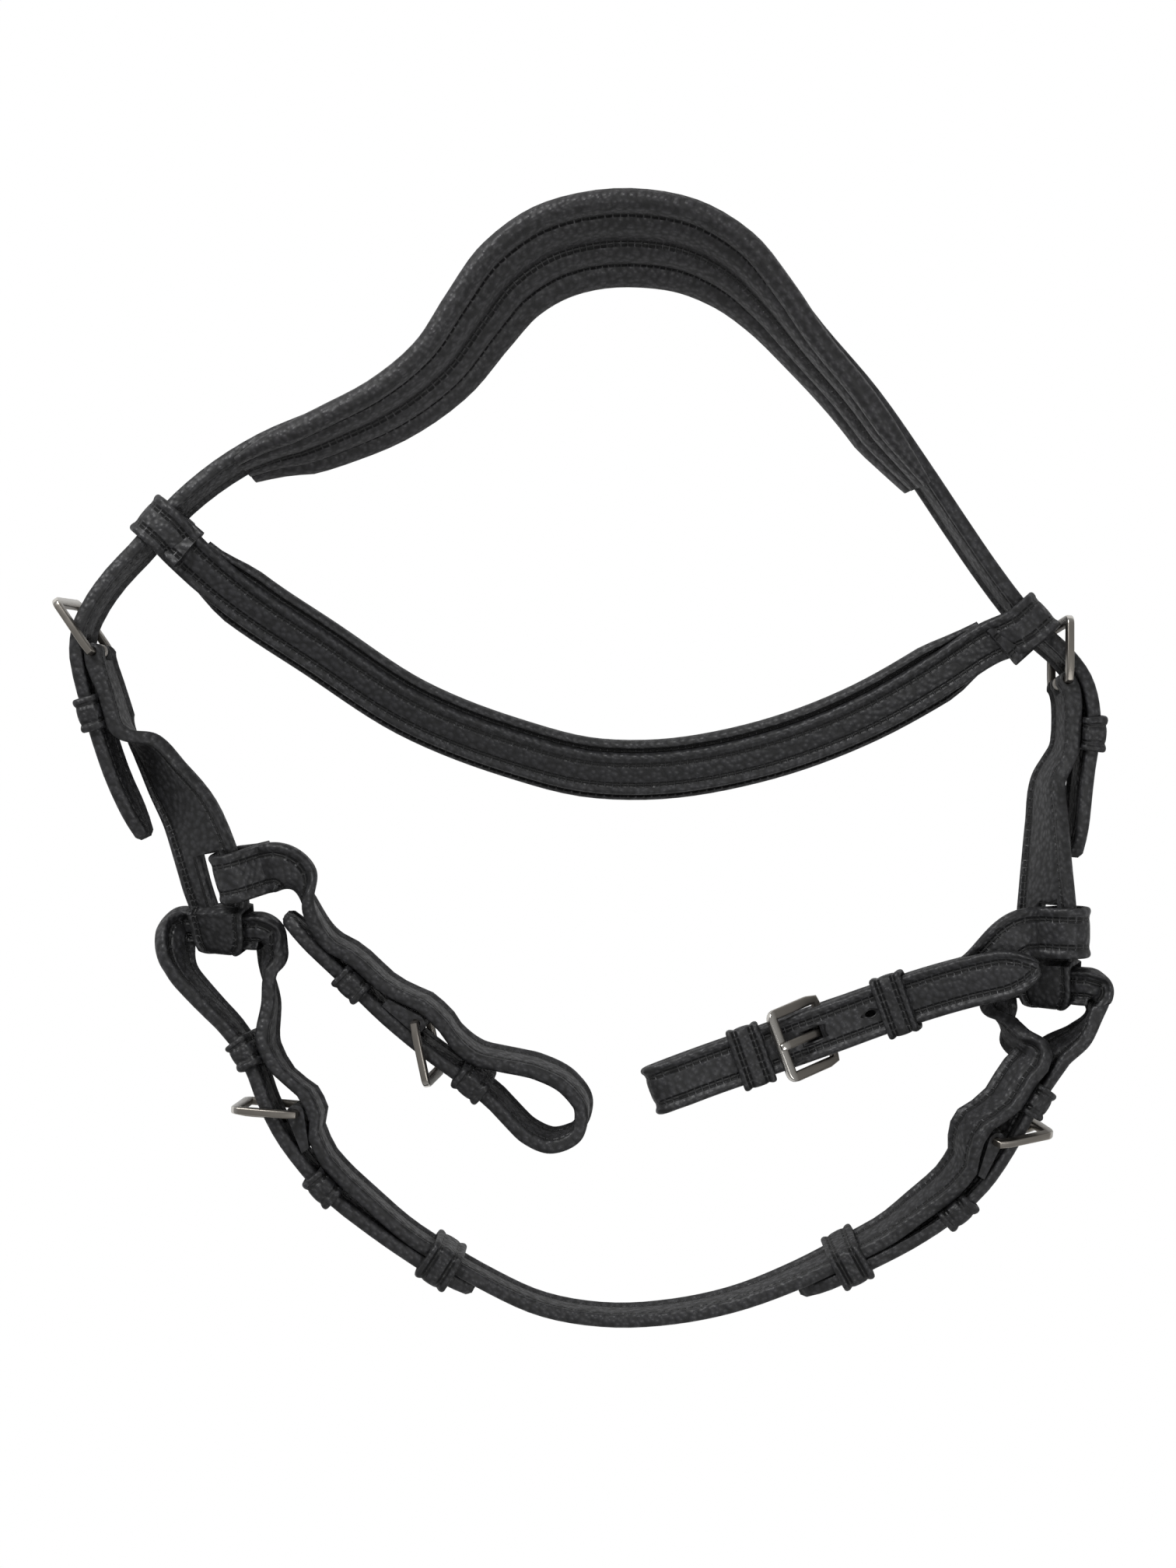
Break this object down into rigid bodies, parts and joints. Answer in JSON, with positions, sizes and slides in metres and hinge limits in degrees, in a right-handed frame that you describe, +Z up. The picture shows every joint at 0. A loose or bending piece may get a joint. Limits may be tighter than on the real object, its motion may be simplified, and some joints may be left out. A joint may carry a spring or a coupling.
{
  "type": "synthetic bridle",
  "caption": "Padded pebble-grain bridle laid flat: headpiece with crown pad, browband, cheek tabs, buckled noseband and two short bit straps, with satin steel buckles.",
  "frame": {"origin": "on the table under the middle of the bridle as it lies", "axes": "+Z up off the table, +Y from the noseband towards the crown, +X to the viewer's right as pictured"},
  "size_m": [0.4195, 0.4488, 0.0502],
  "materials": {
    "strap_leather": "pebbled satin",
    "pad_leather": "pebbled satin",
    "buckle_steel": "satin"
  },
  "bodies": {
    "bridle": {"headpiece_strap": "strap_leather", "crown_pad": "pad_leather", "left_cheek_tab": "strap_leather", "left_cheek_keeper": "strap_leather", "right_cheek_tab": "strap_leather", "right_cheek_keeper": "strap_leather", "noseband_strap": "strap_leather", "left_noseband_chape": "strap_leather", "left_noseband_upper_keeper": "strap_leather", "left_noseband_lower_keeper": "strap_leather", "right_noseband_chape": "strap_leather", "right_noseband_upper_keeper": "strap_leather", "right_noseband_lower_keeper": "strap_leather"},
    "browband": {"browband_strap": "strap_leather", "browband_pad": "pad_leather"},
    "left_bit_strap": {"left_bit_strap": "strap_leather", "left_bit_chape": "strap_leather", "left_bit_lower_keeper": "strap_leather", "left_bit_upper_keeper": "strap_leather"},
    "right_bit_strap": {"right_bit_strap": "strap_leather", "right_bit_chape": "strap_leather", "right_bit_lower_keeper": "strap_leather", "right_bit_upper_keeper": "strap_leather"},
    "left_cheek_buckle_frame": {"left_cheek_buckle_frame": "buckle_steel"},
    "left_cheek_buckle_tongue": {"left_cheek_buckle_tongue": "buckle_steel"},
    "right_cheek_buckle_frame": {"right_cheek_buckle_frame": "buckle_steel"},
    "right_cheek_buckle_tongue": {"right_cheek_buckle_tongue": "buckle_steel"},
    "left_noseband_buckle_frame": {"left_noseband_buckle_frame": "buckle_steel"},
    "left_noseband_buckle_tongue": {"left_noseband_buckle_tongue": "buckle_steel"},
    "right_noseband_buckle_frame": {"right_noseband_buckle_frame": "buckle_steel"},
    "right_noseband_buckle_tongue": {"right_noseband_buckle_tongue": "buckle_steel"},
    "left_bit_buckle_frame": {"left_bit_buckle_frame": "buckle_steel"},
    "left_bit_buckle_tongue": {"left_bit_buckle_tongue": "buckle_steel"},
    "right_bit_buckle_frame": {"right_bit_buckle_frame": "buckle_steel"},
    "right_bit_buckle_tongue": {"right_bit_buckle_tongue": "buckle_steel"},
    "left_noseband_runner": {"left_noseband_runner": "strap_leather"},
    "right_noseband_runner": {"right_noseband_runner": "strap_leather"}
  },
  "joints": [
    {"name": "browband_slide", "type": "slide", "parent": "bridle", "child": "browband", "axis": [0, 1, 0], "range_m": [-0.0008, 0.0008]},
    {"name": "left_bit_strap_lift", "type": "hinge", "parent": "bridle", "child": "left_bit_strap", "pos_m": [-0.13932, -0.04356, 0.02296], "axis": [0.2475, -0.9574, -0.1488], "range_deg": [0, 6]},
    {"name": "right_bit_strap_lift", "type": "hinge", "parent": "bridle", "child": "right_bit_strap", "pos_m": [0.19026, -0.06623, 0.02647], "axis": [-0.0036, 0.9985, 0.055], "range_deg": [0, 6]},
    {"name": "left_cheek_frame_rock", "type": "hinge", "parent": "bridle", "child": "left_cheek_buckle_frame", "pos_m": [-0.19366, 0.04493, 0.01908], "axis": [-0.2076, -0.0004, 0.9782], "range_deg": [0, 4]},
    {"name": "left_cheek_tongue_lift", "type": "hinge", "parent": "left_cheek_buckle_frame", "child": "left_cheek_buckle_tongue", "pos_m": [-0.19366, 0.04493, 0.01908], "axis": [-0.2076, -0.0004, 0.9782], "range_deg": [0, 6]},
    {"name": "right_cheek_frame_rock", "type": "hinge", "parent": "bridle", "child": "right_cheek_buckle_frame", "pos_m": [0.18812, 0.03242, 0.01902], "axis": [-0.1607, -0.1346, -0.9778], "range_deg": [0, 4]},
    {"name": "right_cheek_tongue_lift", "type": "hinge", "parent": "right_cheek_buckle_frame", "child": "right_cheek_buckle_tongue", "pos_m": [0.18812, 0.03242, 0.01902], "axis": [-0.1607, -0.1346, -0.9778], "range_deg": [0, 6]},
    {"name": "left_noseband_frame_rock", "type": "hinge", "parent": "bridle", "child": "left_noseband_buckle_frame", "pos_m": [-0.11427, -0.13732, 0.01816], "axis": [-0.1213, -0.0646, 0.9905], "range_deg": [0, 4]},
    {"name": "left_noseband_tongue_lift", "type": "hinge", "parent": "left_noseband_buckle_frame", "child": "left_noseband_buckle_tongue", "pos_m": [-0.11427, -0.13732, 0.01816], "axis": [-0.1213, -0.0646, 0.9905], "range_deg": [0, 6]},
    {"name": "right_noseband_frame_rock", "type": "hinge", "parent": "bridle", "child": "right_noseband_buckle_frame", "pos_m": [0.15631, -0.14525, 0.02584], "axis": [-0.4787, 0.3083, -0.8221], "range_deg": [0, 4]},
    {"name": "right_noseband_tongue_lift", "type": "hinge", "parent": "right_noseband_buckle_frame", "child": "right_noseband_buckle_tongue", "pos_m": [0.15631, -0.14525, 0.02584], "axis": [-0.4787, 0.3083, -0.8221], "range_deg": [0, 6]},
    {"name": "left_bit_frame_rock", "type": "hinge", "parent": "left_bit_strap", "child": "left_bit_buckle_frame", "pos_m": [-0.06618, -0.10118, 0.0175], "axis": [0.1668, 0.1289, -0.9775], "range_deg": [0, 4]},
    {"name": "left_bit_tongue_lift", "type": "hinge", "parent": "left_bit_buckle_frame", "child": "left_bit_buckle_tongue", "pos_m": [-0.06618, -0.10118, 0.0175], "axis": [0.1668, 0.1289, -0.9775], "range_deg": [0, 6]},
    {"name": "right_bit_frame_rock", "type": "hinge", "parent": "right_bit_strap", "child": "right_bit_buckle_frame", "pos_m": [0.09483, -0.1054, 0.01091], "axis": [-0.343, 0.9393, 0], "range_deg": [0, 4]},
    {"name": "right_bit_tongue_lift", "type": "hinge", "parent": "right_bit_buckle_frame", "child": "right_bit_buckle_tongue", "pos_m": [0.09483, -0.1054, 0.01091], "axis": [-0.343, 0.9393, 0], "range_deg": [0, 6]},
    {"name": "left_noseband_runner_slide", "type": "slide", "parent": "bridle", "child": "left_noseband_runner", "axis": [-0.8441, 0.5349, 0.0366], "range_m": [-0.002, 0.002]},
    {"name": "right_noseband_runner_slide", "type": "slide", "parent": "bridle", "child": "right_noseband_runner", "axis": [-0.8801, -0.4723, -0.0484], "range_m": [-0.002, 0.002]}
  ]
}
